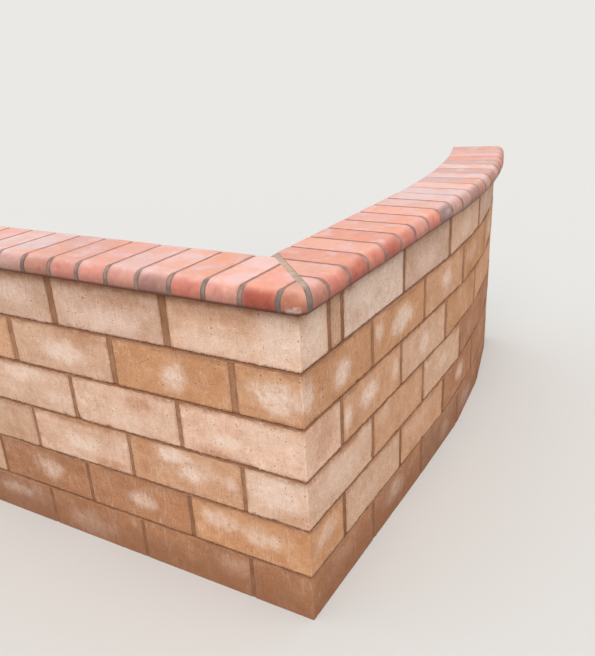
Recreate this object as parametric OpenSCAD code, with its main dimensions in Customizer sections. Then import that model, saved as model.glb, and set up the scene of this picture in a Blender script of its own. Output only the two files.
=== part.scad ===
// Garden wall of concrete blocks with a coping of bullnose clay bricks. Two wings meet at a mitred corner:
// the left wing is straight, and the right wing bends away in a gentle curve and ends square.
// Millimetres, +Z up. Everything is drawn from the wall's outer corner edge, with z = 0 at the middle of the
// mortar bed under the coping, the left wing along -X and the right wing along +Y. placed() then moves it all
// so that the origin is under the middle of the whole wall.

/* [Blocks] */
// Length of a whole block
block_l = 392; // [330:1:450]
// Height of a block
block_h = 142; // [90:1:200]
// Thickness of a block, which is the thickness of the wall
block_w = 194; // [160:1:240]
// Mortar bed between two courses, and under the coping
bed_joint = 10.4; // [6:0.2:16]
// Upright joints of the left wing, course by course from the top. Further courses take the last one.
left_joints = [24, 20, 14.4, 12, 14.4, 12];
// Upright joint between the blocks of the right wing
right_joint = 20; // [8:0.5:26]
// Gap left at the back face between two blocks of the bend
back_joint = 8; // [4:0.5:14]
// Depth of the mortar behind the faces of the blocks
joint_recess = 3; // [1:0.5:8]
// Shortest piece of block that may end a course
closer_l = 100; // [60:5:140]

/* [Wall] */
// Courses of blocks, down to the lowest ground that the wall meets
courses = 6; // [2:1:8]
// Face length of the left wing, along the outer face
left_len = 2424; // [1200:1:2600]
// Face length of the right wing, along the outer face
right_len = 2195; // [1800:5:2400]
// Straight part of the right wing, measured from the corner
straight_len = 1000; // [800:10:1300]
// Radius of the bend, to the outer face
bend_r = 4100; // [3000:50:6000]

/* [Top corner] */
// Width of the cut block that turns the corner in the top course
corner_cut_w = 139; // [110:1:146]
// Width of the thin closer beside the cut block
closer_w = 52; // [35:1:70]
// Joint at the end of the slip behind the cut block, and twice the joint between the two
slip_joint = 14.4; // [8:0.2:20]

/* [Coping] */
// Width of a coping brick, along the wall
cap_w = 90.5; // [70:0.5:110]
// Length of a coping brick, across the wall
cap_l = 235; // [220:1:260]
// Height of a coping brick
cap_h = 57; // [50:1:75]
// How far the bullnose stands out from the outer face
overhang = 38; // [20:1:60]
// Joint between two coping bricks, before a run is divided evenly
cap_joint = 14; // [6:0.5:20]
// Joint between the coping bricks on the straight part of the right wing
straight_cap_joint = 17.6; // [8:0.2:22]
// Radius of the upper arris of the bullnose
nose_top_r = 34; // [20:1:36]
// Radius of the lower arris of the bullnose
nose_low_r = 14; // [6:1:14]
// Radius of the arris at the back of a coping brick
back_r = 4; // [2:0.5:8]
// Mortar joint on the mitre of the corner
mitre_joint_w = 18; // [8:1:24]
// How far the mitre joint is set along the right wing from the outermost corner
mitre_shift = 30; // [0:1:40]
// From the corner edge to the first whole brick of the left run
left_cap_start = 37; // [25:1:60]
// From the corner edge to the first whole brick of the right run
right_cap_start = 95; // [60:1:110]
// Depth of the coping's mortar behind the bricks' surface
cap_recess = 2; // [1:0.5:5]

/* [Hidden] */
$fn = 64;
eps = 0.01;
side_names = ["left_course_", "right_course_", "bend_course_"];

block_color = [0.80, 0.64, 0.50];
pale_block_color = [0.85, 0.72, 0.62];
mortar_color = [0.55, 0.46, 0.38];
brick_color = [0.78, 0.38, 0.30];
grey_mortar_color = [0.52, 0.50, 0.47];

course_h = block_h + bed_joint;
foot_z = -courses * course_h + bed_joint / 2;
cap_z = bed_joint / 2;

// The bend: how far the wall has turned at length s along the outer face, and the point on the face there
function turned(s) = s <= straight_len ? 0 : (s - straight_len) / bend_r * 180 / PI;
function face_point(s) = s <= straight_len
    ? [0, s]
    : [bend_r * (cos(turned(s)) - 1), straight_len + bend_r * sin(turned(s))];
// A point off the face, measured outward from it
function off_face(s, out) = face_point(s) + out * [cos(turned(s)), sin(turned(s))];
function heading(a, b) = let(d = face_point(b) - face_point(a)) atan2(-d.x, d.y);

// On the bend the blocks stay square, so their joints open from the back face to the outer face
bend_joint = (block_l + back_joint) * bend_r / (bend_r - block_w) - block_l;
function joint_after(s) = s < straight_len ? right_joint : bend_joint;

// The blocks of a course as [start, end] along the face. The last piece is never shorter than closer_l.
function block_end(a, end, joint) = let(b = a + block_l)
    b >= end - eps ? end : (end - b < joint + closer_l ? end - joint - closer_l : b);
function left_blocks_from(a, end, joint) = a >= end - eps ? [] :
    let(b = block_end(a, end, joint)) concat([[a, b]], left_blocks_from(b + joint, end, joint));
function right_blocks_from(a, end) = a >= end - eps ? [] :
    let(b = block_end(a, end, joint_after(a + block_l)))
    concat([[a, b]], right_blocks_from(b + joint_after(b), end));

// The corner block lies along the left wing in odd courses and along the right wing in even ones
function is_odd(n) = n % 2 == 1;
top_right_start = corner_cut_w + closer_w + 2 * right_joint;
function left_joint(n) = left_joints[min(n, len(left_joints)) - 1];
function left_start(n) = is_odd(n) ? 0 : block_w + left_joint(n);
function right_start(n) = n == 1 ? top_right_start : (is_odd(n) ? block_w + right_joint : 0);
function left_row(n) = left_blocks_from(left_start(n), left_len, left_joint(n));
function right_row(n) = right_blocks_from(right_start(n), right_len);
// A block and a joint belong to the bend if they start on it
function on_bend(s) = s >= straight_len;
function corner_depth(n) = n == 1 ? corner_cut_w : block_w;
function course_z(n) = -n * course_h + bed_joint / 2;
function course_color(n) = n == 1 ? pale_block_color : block_color;

// A corner of a right wing's block, at its start or its end, measured outward from the face
function block_corner(block, point, out) = let(h = heading(block[0], block[1]))
    face_point(point) + out * [cos(h), sin(h)];
function on_mortar(n) = course_z(n) - bed_joint;

// The coping: the left run and the bend are divided evenly, and their last bricks end flush with the wall. The
// straight part of the right wing keeps its own joint.
cap_back = cap_l - overhang;
function cap_count(run, start) = round((run - start + cap_joint) / (cap_w + cap_joint));
left_caps = cap_count(left_len, left_cap_start);
left_pitch = (left_len - cap_w - left_cap_start) / (left_caps - 1);
function left_cap_at(k) = left_cap_start + k * left_pitch;
straight_pitch = cap_w + straight_cap_joint;
first_bend_cap = floor((straight_len - cap_w / 2 - right_cap_start) / straight_pitch) + 1;
bend_cap_start = right_cap_start + first_bend_cap * straight_pitch;
bend_caps = cap_count(right_len, bend_cap_start);
bend_pitch = (right_len - cap_w - bend_cap_start) / (bend_caps - 1);
right_caps = first_bend_cap + bend_caps;
function right_cap_at(k) = k < first_bend_cap
    ? right_cap_start + k * straight_pitch
    : bend_cap_start + (k - first_bend_cap) * bend_pitch;
function cap_middle(k) = right_cap_at(k) + cap_w / 2;

// The mitre joint lies between the planes x + y = mitre_from and x + y = mitre_to, and cuts the bricks that
// start nearer the corner than their back edges cross those planes
mitre_from = mitre_shift - mitre_joint_w / sqrt(2);
mitre_to = mitre_shift + mitre_joint_w / sqrt(2);
left_cut = len([for (k = [0 : left_caps - 1]) if (left_cap_at(k) < cap_back - mitre_from) k]);
right_cut = len([for (k = [0 : right_caps - 1]) if (right_cap_at(k) < cap_back + mitre_to) k]);

// The middle of the whole wall in plan. Its far end is the outer corner of the last coping brick.
last_cap = cap_middle(right_caps - 1);
far_y = off_face(last_cap, overhang).y + cap_w / 2 * cos(turned(last_cap));
middle = [(overhang - left_len) / 2, (far_y - overhang) / 2];

module placed() {
    translate([-middle.x, -middle.y, -foot_z]) children();
}

// One block between two points of the right wing's face, square to the line that joins them
module right_block(block) {
    start = face_point(block[0]);
    translate([start.x, start.y, 0])
        rotate([0, 0, heading(block[0], block[1])])
            translate([-block_w, 0, 0])
                cube([block_w, norm(face_point(block[1]) - start), block_h]);
}

module left_course(n) {
    color(course_color(n)) placed() translate([0, 0, course_z(n)])
        for (block = left_row(n))
            translate([-block[1], 0, 0])
                cube([block[1] - block[0], block[0] == 0 ? corner_depth(n) : block_w, block_h]);
}

module right_course(n) {
    color(course_color(n)) placed() translate([0, 0, course_z(n)])
        for (block = right_row(n)) if (!on_bend(block[0])) right_block(block);
}

module bend_course(n) {
    color(course_color(n)) placed() translate([0, 0, course_z(n)])
        for (block = right_row(n)) if (on_bend(block[0])) right_block(block);
}

// Two thin pieces make up the top course beside and behind its cut corner block
module top_closers() {
    slip_gap = slip_joint / 2;
    color(pale_block_color) placed() translate([0, 0, course_z(1)]) {
        translate([-block_w, corner_cut_w + right_joint, 0]) cube([block_w, closer_w, block_h]);
        translate([-block_l, corner_cut_w + slip_gap, 0])
            cube([block_l - block_w - slip_joint, block_w - corner_cut_w - slip_gap, block_h]);
    }
}

// The mortar between two blocks of a left course, from one block's end to the next one's start
module left_head(gap) {
    translate([-gap[1], joint_recess, 0])
        cube([gap[1] - gap[0], block_w - 2 * joint_recess, block_h]);
}

module left_mortar() {
    color(mortar_color) placed() {
        for (n = [0 : courses - 1])
            translate([-left_len + joint_recess, joint_recess, on_mortar(n)])
                cube([left_len - 2 * joint_recess, block_w - 2 * joint_recess, bed_joint]);
        for (n = [1 : courses]) translate([0, 0, course_z(n)]) {
            row = left_row(n);
            if (!is_odd(n)) left_head([block_w, row[0][0]]);
            for (i = [1 : len(row) - 1]) left_head([row[i - 1][1], row[i][0]]);
        }
        translate([0, 0, course_z(1)]) closer_packing();
    }
}

// Mortar round the two closers behind the cut corner block of the top course
module closer_packing() {
    depth = block_w - joint_recess - corner_cut_w;
    translate([-block_w - slip_joint, corner_cut_w, 0]) cube([slip_joint, depth, block_h]);
    translate([-block_l, corner_cut_w, 0]) cube([block_l - block_w - slip_joint, slip_joint / 2, block_h]);
}

// The mortar between two blocks of the right wing, which is a wedge where the wing bends
module right_head(before, after) {
    low = joint_recess - block_w;
    linear_extrude(block_h) polygon([
        block_corner(before, before[1], -joint_recess),
        block_corner(before, before[1], low),
        block_corner(after, after[0], low),
        block_corner(after, after[0], -joint_recess)
    ]);
}

// What a course of the right wing starts from: the end of the left wing's corner block, or the thin closer
function right_edge(n) = n == 1 ? top_right_start - right_joint : block_w;

module right_heads(n, bent) {
    row = right_row(n);
    translate([0, 0, course_z(n)]) {
        if (is_odd(n) && !bent) right_head([0, right_edge(n)], row[0]);
        for (i = [1 : len(row) - 1]) if (on_bend(row[i - 1][1]) == bent) right_head(row[i - 1], row[i]);
    }
}

module right_mortar() {
    color(mortar_color) placed() {
        for (n = [0 : courses - 1])
            translate([joint_recess - block_w, block_w - joint_recess, on_mortar(n)])
                cube([block_w - 2 * joint_recess, straight_len - block_w + joint_recess, bed_joint]);
        for (n = [1 : courses]) right_heads(n, false);
        translate([joint_recess - block_w, corner_cut_w, course_z(1)])
            cube([block_w - 2 * joint_recess, right_joint, block_h]);
    }
}

// The beds of the bend keep behind the flat faces of its blocks, which cut across the curve
module bend_mortar() {
    hollow = pow(block_l, 2) / (8 * bend_r);
    sweep = (right_len - straight_len - joint_recess) / bend_r * 180 / PI;
    color(mortar_color) placed() {
        for (n = [0 : courses - 1])
            translate([-bend_r, straight_len, on_mortar(n)])
                rotate_extrude(angle = sweep, $fn = 360)
                    translate([bend_r - block_w + joint_recess, 0])
                        square([block_w - 2 * joint_recess - hollow, bed_joint]);
        for (n = [1 : courses]) right_heads(n, true);
    }
}

// The waste that rounds the corner at the origin of a shape that lies below it and to its left
module arris(r) {
    difference() {
        translate([-r, -r]) square(r + 1);
        translate([-r, -r]) circle(r);
    }
}

// Section of a coping brick: x outward from the wall's face, y upward from its bed
module coping_section(inset = 0, back = cap_back) {
    top = cap_h - inset;
    nose = overhang - inset;
    difference() {
        translate([inset - back, 0]) square([nose + back - inset, top]);
        translate([nose, top]) arris(nose_top_r - inset);
        translate([nose, 0]) mirror([0, 1]) arris(nose_low_r);
        translate([inset - back, top]) mirror([1, 0]) arris(back_r);
    }
}

// A length of coping along +Y, with its nose towards +X
module coping_run(from, to, inset = 0, back = cap_back) {
    translate([0, to, 0]) rotate([90, 0, 0]) linear_extrude(to - from) coping_section(inset, back);
}

// The same along the left wing, where lengths are measured from the corner towards -X
module left_run(from, to, inset = 0, back = cap_back) {
    mirror([1, 1, 0]) coping_run(from, to, inset, back);
}

// The coping's outer corner: both runs and, between them, the nose turned about the middle of its upper arc
module coping_corner(inset = 0) {
    turn = overhang - nose_top_r;
    reach = 2 * cap_l;
    left_run(-turn, reach, inset);
    coping_run(-turn, reach, inset);
    translate([turn, -turn, 0]) rotate([0, 0, -90]) rotate_extrude(angle = 90)
        translate([-turn, 0]) intersection() {
            coping_section(inset);
            translate([turn, -1]) square([nose_top_r + 1, cap_h + 2]);
        }
}

// A slab across the corner, between the distances from and to beyond the mitre's outermost point
module mitre_slab(from, to) {
    reach = 8 * cap_l;
    rotate([0, 0, 45]) translate([from, -reach / 2, -1]) cube([to - from, reach, cap_h + 2]);
}

// Everything beyond the mitre joint on one side: side is -1 for the left wing and 1 for the right one
module mitre_side(side) {
    far = 4 * cap_l;
    if (side > 0) mitre_slab(mitre_to / sqrt(2), far);
    else mitre_slab(-far, mitre_from / sqrt(2));
}

// The coping's corner up to a distance from the outer face of either wing
module corner_piece(left_end, right_end) {
    intersection() {
        coping_corner();
        translate([-left_end, -overhang - 1, -1])
            cube([left_end + overhang + 1, right_end + overhang + 1, cap_h + 2]);
    }
}

module left_coping() {
    color(brick_color) placed() translate([0, 0, cap_z])
        for (k = [left_cut : left_caps - 1]) left_run(left_cap_at(k), left_cap_at(k) + cap_w);
}

module left_mitre_bricks() {
    color(brick_color) placed() translate([0, 0, cap_z]) intersection() {
        union() {
            corner_piece(left_cap_at(0) + cap_w - left_pitch, cap_back);
            for (k = [0 : left_cut - 1]) left_run(left_cap_at(k), left_cap_at(k) + cap_w);
        }
        mitre_side(-1);
    }
}

module right_mitre_bricks() {
    color(brick_color) placed() translate([0, 0, cap_z]) intersection() {
        union() {
            corner_piece(cap_back, right_cap_start - straight_cap_joint);
            for (k = [0 : right_cut - 1]) coping_run(right_cap_at(k), right_cap_at(k) + cap_w);
        }
        mitre_side(1);
    }
}

module right_coping() {
    color(brick_color) placed() translate([0, 0, cap_z])
        for (k = [right_cut : first_bend_cap - 1]) coping_run(right_cap_at(k), right_cap_at(k) + cap_w);
}

// On the bend each brick is square to the face at its own middle, so the bricks fan out
module fanned(s) {
    point = face_point(s);
    translate([point.x, point.y, 0]) rotate([0, 0, turned(s)]) children();
}

module bend_coping() {
    color(brick_color) placed() translate([0, 0, cap_z])
        for (k = [first_bend_cap : right_caps - 1]) fanned(cap_middle(k)) coping_run(-cap_w / 2, cap_w / 2);
}

// The mitre's mortar runs from the nose to the back edges, and fills the notch that the shift leaves there
module mitre_joint() {
    inner = cap_back - cap_recess;
    nose = overhang + 1;
    color(grey_mortar_color) placed() translate([0, 0, cap_z]) intersection() {
        coping_corner(cap_recess);
        linear_extrude(cap_h) polygon([
            [nose, mitre_from - nose],
            [mitre_from - cap_back, cap_back],
            [-inner, cap_back],
            [-inner, mitre_to + inner],
            [nose, mitre_to - nose]
        ]);
    }
}

module left_coping_joints() {
    joint = left_pitch - cap_w;
    color(grey_mortar_color) placed() translate([0, 0, cap_z]) {
        intersection() {
            for (k = [0 : left_cut]) left_run(left_cap_at(k) - joint, left_cap_at(k), cap_recess);
            mitre_side(-1);
        }
        for (k = [left_cut + 1 : left_caps - 1]) left_run(left_cap_at(k) - joint, left_cap_at(k), cap_recess);
    }
}

module right_coping_joints() {
    joint = straight_cap_joint;
    color(grey_mortar_color) placed() translate([0, 0, cap_z]) {
        intersection() {
            for (k = [0 : right_cut]) coping_run(right_cap_at(k) - joint, right_cap_at(k), cap_recess);
            mitre_side(1);
        }
        for (k = [right_cut + 1 : first_bend_cap - 1])
            coping_run(right_cap_at(k) - joint, right_cap_at(k), cap_recess);
    }
}

// A corner in plan of coping brick k: end is -1 for its near side and 1 for its far side. A brick before the
// bend turns by nothing, so the same formula holds for it.
function cap_corner(k, end, out) = let(s = cap_middle(k), a = turned(s))
    face_point(s) + out * [cos(a), sin(a)] + end * cap_w / 2 * [-sin(a), cos(a)];

module bend_coping_joints() {
    color(grey_mortar_color) placed() translate([0, 0, cap_z])
        for (k = [first_bend_cap : right_caps - 1]) intersection() {
            linear_extrude(cap_h) polygon([
                cap_corner(k - 1, 1, overhang),
                cap_corner(k - 1, 1, -cap_back),
                cap_corner(k, -1, -cap_back),
                cap_corner(k, -1, overhang)
            ]);
            fanned((cap_middle(k - 1) + cap_middle(k)) / 2) coping_run(-cap_w / 2, cap_w / 2, cap_recess);
        }
}

for (n = [1 : courses]) {
    left_course(n);
    right_course(n);
    bend_course(n);
}
top_closers();
left_mortar();
right_mortar();
bend_mortar();
left_coping();
left_mitre_bricks();
right_mitre_bricks();
right_coping();
bend_coping();
mitre_joint();
left_coping_joints();
right_coping_joints();
bend_coping_joints();
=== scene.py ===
"""Looks of the garden wall: weathered concrete blocks, struck mortar and a coping of bullnose clay bricks."""
import itertools
import math
from collections import defaultdict

import bmesh
import bpy
import numpy as np
from mathutils import Matrix, Vector
from numpy.linalg import norm


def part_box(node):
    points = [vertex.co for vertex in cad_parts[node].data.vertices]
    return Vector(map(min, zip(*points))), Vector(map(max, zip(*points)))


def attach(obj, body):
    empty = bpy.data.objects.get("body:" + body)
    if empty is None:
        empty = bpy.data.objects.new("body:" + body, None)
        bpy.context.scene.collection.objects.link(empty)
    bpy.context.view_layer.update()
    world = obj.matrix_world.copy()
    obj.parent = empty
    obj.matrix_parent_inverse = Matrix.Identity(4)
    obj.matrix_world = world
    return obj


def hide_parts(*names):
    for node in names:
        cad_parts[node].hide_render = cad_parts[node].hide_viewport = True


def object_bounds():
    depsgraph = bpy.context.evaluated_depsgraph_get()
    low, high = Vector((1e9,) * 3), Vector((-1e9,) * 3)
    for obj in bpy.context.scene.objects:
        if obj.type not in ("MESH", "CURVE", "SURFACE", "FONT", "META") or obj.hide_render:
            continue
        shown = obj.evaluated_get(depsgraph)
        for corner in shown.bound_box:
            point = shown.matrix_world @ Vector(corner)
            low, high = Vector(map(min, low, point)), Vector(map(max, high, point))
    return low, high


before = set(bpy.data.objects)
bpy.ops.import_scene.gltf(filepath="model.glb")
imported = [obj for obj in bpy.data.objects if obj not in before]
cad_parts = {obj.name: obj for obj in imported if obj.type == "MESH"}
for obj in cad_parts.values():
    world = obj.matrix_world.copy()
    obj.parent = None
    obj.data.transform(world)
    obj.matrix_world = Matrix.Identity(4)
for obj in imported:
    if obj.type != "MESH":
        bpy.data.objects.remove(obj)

cad_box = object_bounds()

MM = 0.001
COURSES = 6
wall_low, wall_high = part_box("left_course_1")
CORNER = np.array([wall_high.x, wall_low.y])

# The camera that took the photograph, worked out from the wall's joints: its place from the outer corner edge
# and over the ground in metres, where it looks, and the pixel row that its axis passes through in the
# photograph's frame.
PHOTO_HEIGHT = 656
FOCAL_LENGTH = 717.0
AXIS_BELOW_MIDDLE = 32.0
SENSOR = 36.0
CAMERA_FROM_CORNER = np.array([0.7849, -1.3065])
CAMERA_HEIGHT = 1.4776
CAMERA_HEADING = 31.264
CAMERA_PITCH = -24.100
CAMERA_ROLL = -3.124


def add_object(name, data):
    made = bpy.data.objects.new(name, data)
    bpy.context.scene.collection.objects.link(made)
    return made


def make_camera():
    data = bpy.data.cameras.new("camera")
    data.sensor_width = SENSOR
    data.lens = FOCAL_LENGTH / PHOTO_HEIGHT * SENSOR
    data.shift_y = AXIS_BELOW_MIDDLE / PHOTO_HEIGHT
    camera = add_object("camera", data)
    heading = Matrix.Rotation(math.radians(CAMERA_HEADING), 4, "Z")
    pitch = Matrix.Rotation(math.radians(90 + CAMERA_PITCH), 4, "X")
    roll = Matrix.Rotation(math.radians(CAMERA_ROLL), 4, "Z")
    place = (*(CORNER + CAMERA_FROM_CORNER), CAMERA_HEIGHT)
    camera.matrix_world = Matrix.Translation(place) @ heading @ pitch @ roll
    bpy.context.scene.camera = camera


make_camera()


# Colours and noise

def linear(red, green, blue):
    """A colour as Blender takes it, from how it shows on a screen, 0 to 255."""
    def channel(value):
        value /= 255
        return value / 12.92 if value <= 0.04045 else ((value + 0.055) / 1.055) ** 2.4
    return (channel(red), channel(green), channel(blue), 1.0)


def lattice(cells, seed):
    """A value from 0 to 1 for each whole-numbered cell, the same in each run, by a common hash."""
    mixed = (cells * np.array([73856093, 19349663, 83492791])).sum(axis=1) + seed * 2654435761
    mixed = mixed & 0xFFFFFFFF
    for shift, factor in ((16, 0x45D9F3B), (15, 0x2C1B3C6D)):
        mixed = ((mixed ^ (mixed >> shift)) * factor) & 0xFFFFFFFF
    mixed ^= mixed >> 16
    return (mixed & 0xFFFFFF) / 0xFFFFFF


def noise(points, size, seed=0):
    """Smooth noise from 0 to 1 over points in metres, with bumps of about the given size in millimetres."""
    scaled = points / (size * MM)
    cell = np.floor(scaled).astype(np.int64)
    share = scaled - cell
    share = share * share * (3 - 2 * share)
    total = np.zeros(len(points))
    for corner in itertools.product((0, 1), repeat=3):
        weight = np.where(np.array(corner), share, 1 - share).prod(axis=1)
        total += weight * lattice(cell + np.array(corner), seed)
    return total


def ramp(value, low, high):
    """0 below low, 1 above high and smooth between."""
    share = np.clip((value - low) / (high - low), 0, 1)
    return share * share * (3 - 2 * share)


# Meshes

class Pile:
    """Collects the points, faces and point values of many solids for one joined mesh."""

    def __init__(self):
        self.points, self.faces, self.values = [], [], defaultdict(list)
        self.count = 0

    def add(self, points, faces, **values):
        self.points.append(points)
        self.faces.extend([[i + self.count for i in face] for face in faces])
        self.count += len(points)
        for name, value in values.items():
            value = np.asarray(value, float)
            if value.ndim == 0 or len(value) != len(points):
                value = np.tile(value, (len(points), 1))
            self.values[name].append(value.reshape(len(points), -1))

    def piece(self, name, slot, nodes, crease=None):
        """Makes the mesh, which replaces CAD nodes. Edges sharper than crease, in degrees, stay sharp."""
        mesh = bpy.data.meshes.new(name)
        points = np.clip(np.concatenate(self.points), *cad_box)
        mesh.from_pydata(points.tolist(), [], self.faces)
        shape = bmesh.new()
        shape.from_mesh(mesh)
        bmesh.ops.recalc_face_normals(shape, faces=shape.faces)
        shape.to_mesh(mesh)
        shape.free()
        mesh.shade_smooth()
        if crease:
            mesh.set_sharp_from_angle(angle=math.radians(crease))
        for key, parts in self.values.items():
            value = np.concatenate(parts)
            kind, field = ("FLOAT", "value") if value.shape[1] == 1 else ("FLOAT_COLOR", "color")
            mesh.attributes.new(key, kind, "POINT").data.foreach_set(field, value.ravel())
        mesh.materials.append(LOOKS[slot])
        made = add_object(name, mesh)
        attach(made, "root")
        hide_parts(*nodes)


def surface_grid(shape):
    """Lattice places on the surface of a box of the given numbers of lines, and the quads between them."""
    outside = np.ones(shape, bool)
    outside[1:-1, 1:-1, 1:-1] = False
    index = np.full(shape, -1)
    index[outside] = np.arange(outside.sum())
    quads = []
    for axis in range(3):
        for end in (0, -1):
            sheet = np.take(index, end, axis=axis)
            corners = [sheet[:-1, :-1], sheet[1:, :-1], sheet[1:, 1:], sheet[:-1, 1:]]
            if (end == 0) != (axis == 1):
                corners.reverse()
            quads.append(np.stack([c.ravel() for c in corners], axis=1))
    return np.argwhere(outside), np.concatenate(quads).tolist()


def cuts(length, step, edge):
    """Places of the grid lines along a length: the given ones near each end, and even steps between."""
    near = np.array([e for e in edge if e < length * 0.4])
    steps = max(1, round((length - 2 * near[-1]) / step))
    even = np.linspace(near[-1], length - near[-1], steps + 1)
    return np.unique(np.concatenate([near[:-1], even, length - near[:-1]]))


def box_grid(size, steps, edge):
    """Points over the surface of a box from 0 to size, in millimetres, and its quads."""
    lines = [cuts(length, step, edge) for length, step in zip(size, steps)]
    places, quads = surface_grid([len(line) for line in lines])
    return np.stack([line[places[:, i]] for i, line in enumerate(lines)], axis=1), quads


def rounded(points, size, radius):
    """Draws the arrises of a box in to each point's own radius, and gives the way out."""
    half = np.asarray(size) / 2
    limit = half * 0.9
    centred = points - half
    core = half - np.minimum(radius[:, None], limit)
    inner = np.clip(centred, -core, core)
    way = centred - inner
    way = way / np.maximum(norm(way, axis=1, keepdims=True), 1e-9)
    return inner + way * np.minimum(radius[:, None], limit.min()) + half, way


def along(line, share):
    """Points at the given shares of the length of a line in plan."""
    line = np.asarray(line, float)
    reach = np.concatenate([[0], np.cumsum(norm(np.diff(line, axis=0), axis=1))])
    return np.stack([np.interp(share * reach[-1], reach, line[:, i]) for i in (0, 1)], axis=1)


def line_length(line):
    return norm(np.diff(np.asarray(line, float), axis=0), axis=1).sum() / MM


class Stretch:
    """A stretch of wall between lines in plan, in metres: outer and inner face, at foot and top."""

    def __init__(self, outer, inner, low, high, top=None):
        self.outer, self.inner, self.low, self.high = outer, inner, low, high
        self.top = top or (outer, inner)
        middle = norm(along(outer, np.array([0.5])) - along(inner, np.array([0.5])))
        self.size = np.array([line_length(outer), middle / MM, (high - low) / MM])

    def place(self, points):
        """Takes points in millimetres, (along, outward from the inner face, up), to the row frame."""
        share = points / self.size
        up = share[:, 2:]
        outer, inner = (
            along(low, share[:, 0]) * (1 - up) + along(high, share[:, 0]) * up
            for low, high in zip((self.outer, self.inner), self.top)
        )
        plan = inner + (outer - inner) * share[:, 1:2]
        return np.c_[plan, self.low + (self.high - self.low) * up]

    def end(self, k):
        return self.outer[k], self.inner[k]


# What the frame holds

def solids_of(node):
    """The separate solids of a CAD node, each as its points in metres."""
    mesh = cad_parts[node].data
    points = np.empty(len(mesh.vertices) * 3)
    mesh.vertices.foreach_get("co", points)
    edges = np.empty(len(mesh.edges) * 2, int)
    mesh.edges.foreach_get("vertices", edges)
    points, index = np.unique(np.round(points.reshape(-1, 3), 5), axis=0, return_inverse=True)
    edges = index.ravel()[edges].reshape(-1, 2)
    label = np.arange(len(points))
    while True:
        before = label.copy()
        for start, end in (edges.T, edges.T[::-1]):
            np.minimum.at(label, start, label[end])
        if (label == before).all():
            return [points[label == k] for k in np.unique(label)]


LEFT_OUT = np.array([0.0, -1.0])
RIGHT_OUT = np.array([1.0, 0.0])


def sides_of(plan):
    """The sides of the ring through points in plan, each as the way from one point to the next."""
    spread = plan - plan.mean(axis=0)
    ring = plan[np.argsort(np.arctan2(spread[:, 1], spread[:, 0]))]
    return np.roll(ring, -1, axis=0) - ring


def way_along(out, outward):
    """The way along a wing, away from the corner of the wall, from the way out of a face."""
    return np.array([-out[1], out[0]]) if outward is RIGHT_OUT else np.array([out[1], -out[0]])


def block(points, outward):
    """The stretch of an upright box, each of its lines from the corner of the wall outwards."""
    low = points[points[:, 2] < points[:, 2].mean()][:, :2]
    sides = sides_of(low)
    units = sides / norm(sides, axis=1, keepdims=True)
    out = units[np.argmax(units @ outward)]
    spread = low - low.mean(axis=0)
    depth, reach = spread @ out, spread @ way_along(out, outward)
    outer, inner = (low[part][np.argsort(reach[part])] for part in (depth > 0, depth < 0))
    return Stretch(outer, inner, points[:, 2].min(), points[:, 2].max())


def row_of(nodes, outward):
    """The blocks of a course, from the corner of the wall outwards."""
    blocks = [block(points, outward) for node in nodes for points in solids_of(node)]
    return sorted(blocks, key=lambda b: norm(b.outer[0] - CORNER))


NUMBERS = range(1, COURSES + 1)
left_rows = {n: row_of([f"left_course_{n}"], LEFT_OUT) for n in NUMBERS}
right_rows = {n: row_of([f"right_course_{n}", f"bend_course_{n}"], RIGHT_OUT) for n in NUMBERS}
closers = sorted(solids_of("top_closers"), key=lambda points: points[:, 0].min())
back_slip = block(closers[0], LEFT_OUT)
face_closer = block(closers[1], RIGHT_OUT)

WALL_THICKNESS = line_length([right_rows[2][0].outer[0], right_rows[2][0].inner[0]])
BED_HEIGHT = left_rows[1][0].low - left_rows[2][0].high
BEND_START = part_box("right_mortar")[1].y


# Concrete blocks. Their arrises are worn to a radius. The lower ones keep more of their edge, which hangs
# over the bed in short teeth. Lengths are in millimetres from here on.

BLOCK_STEPS = (6.0, 48.0, 8.0)
SHOWN_END_STEP = 9.0
BLOCK_EDGE = (0.0, 2.0, 5.0, 10.0)
ARRIS = 1.1
WORN_ARRIS = 4.2
LOWER_KEPT = 0.75
LOWER_PART = 0.2
CHIP = 7.0
SWELL = 0.5
GRIT = 0.6
PIT = 1.5
HANG = 2.5
TEETH = 3.0


def worn_block(size, seed, end_shows):
    """A block's points and quads. The seed shifts its worn arrises, gritty face, pits and chips."""
    steps = (BLOCK_STEPS[0], SHOWN_END_STEP if end_shows else BLOCK_STEPS[1], BLOCK_STEPS[2])
    points, quads = box_grid(size, steps, BLOCK_EDGE)
    spot = points * MM + seed * 1.37
    up = points[:, 2]
    lower = 1 - ramp(up, 0, size[2] * LOWER_PART)
    radius = ARRIS + WORN_ARRIS * noise(spot, 13, seed) ** 2 * (1 - LOWER_KEPT * lower)
    radius += CHIP * ramp(noise(spot, 38, seed + 1), 0.80, 0.95)
    worn, out = rounded(points, size, radius)
    relief = SWELL * noise(spot, 30, seed + 2) + GRIT * noise(spot, 9, seed + 3)
    relief += PIT * ramp(noise(spot, 12, seed + 4), 0.80, 0.93)
    worn -= out * relief[:, None]
    worn[:, 2] -= (HANG + TEETH * ramp(noise(spot, 6, seed + 5), 0.35, 0.9)) * (up == 0)
    return worn, quads


# Tones of the blocks, as they look in full light
BLOCK_TONES = {
    "chalk": (238, 208, 188),
    "cream": (236, 192, 162),
    "shell": (216, 178, 154),
    "rose": (238, 196, 169),
    "peach": (228, 187, 159),
    "sand": (218, 175, 144),
    "tan": (218, 165, 127),
    "amber": (210, 153, 109),
    "umber": (178, 122, 84),
    "soil": (166, 118, 88),
}
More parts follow.
